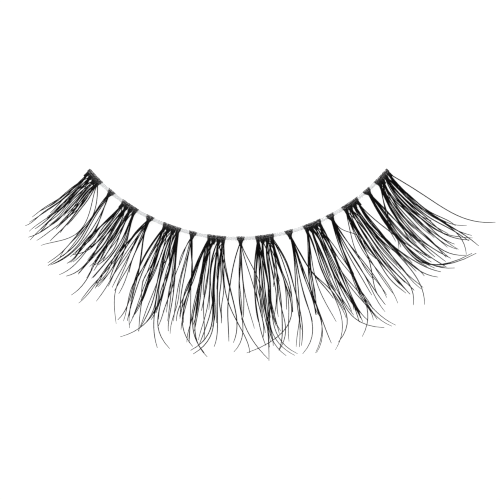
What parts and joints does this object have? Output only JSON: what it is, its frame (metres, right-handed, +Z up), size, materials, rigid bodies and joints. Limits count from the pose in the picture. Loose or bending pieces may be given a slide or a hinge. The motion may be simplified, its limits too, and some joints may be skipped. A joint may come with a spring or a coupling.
{
  "type": "false eyelash strip",
  "caption": "Curved strip of clear band carrying knotted clusters of tapering black lashes that fan out flat and curl up.",
  "frame": {"origin": "on the strip's flat underside, straight below the middle of the band", "axes": "+X along the band towards the longer lashes of the outer end, -Y the way the lashes point at the middle, +Z up, the way they curl"},
  "size_m": [0.0442, 0.0187, 0.0039],
  "materials": {
    "clear_band": "clear flexible plastic filament, glossy",
    "black_lash": "black tapered synthetic lash fibre with a soft satin sheen"
  },
  "bodies": {
    "root": {"clear_band": "clear_band", "narrow_cluster_1": "black_lash", "narrow_cluster_2": "black_lash", "narrow_cluster_3": "black_lash", "narrow_cluster_4": "black_lash", "narrow_cluster_5": "black_lash", "narrow_cluster_6": "black_lash", "narrow_cluster_7": "black_lash", "wide_cluster_1": "black_lash", "wide_cluster_2": "black_lash", "wide_cluster_3": "black_lash", "wide_cluster_4": "black_lash", "wide_cluster_5": "black_lash", "wide_cluster_6": "black_lash", "wide_cluster_7": "black_lash", "wide_cluster_8": "black_lash"}
  },
  "joints": []
}
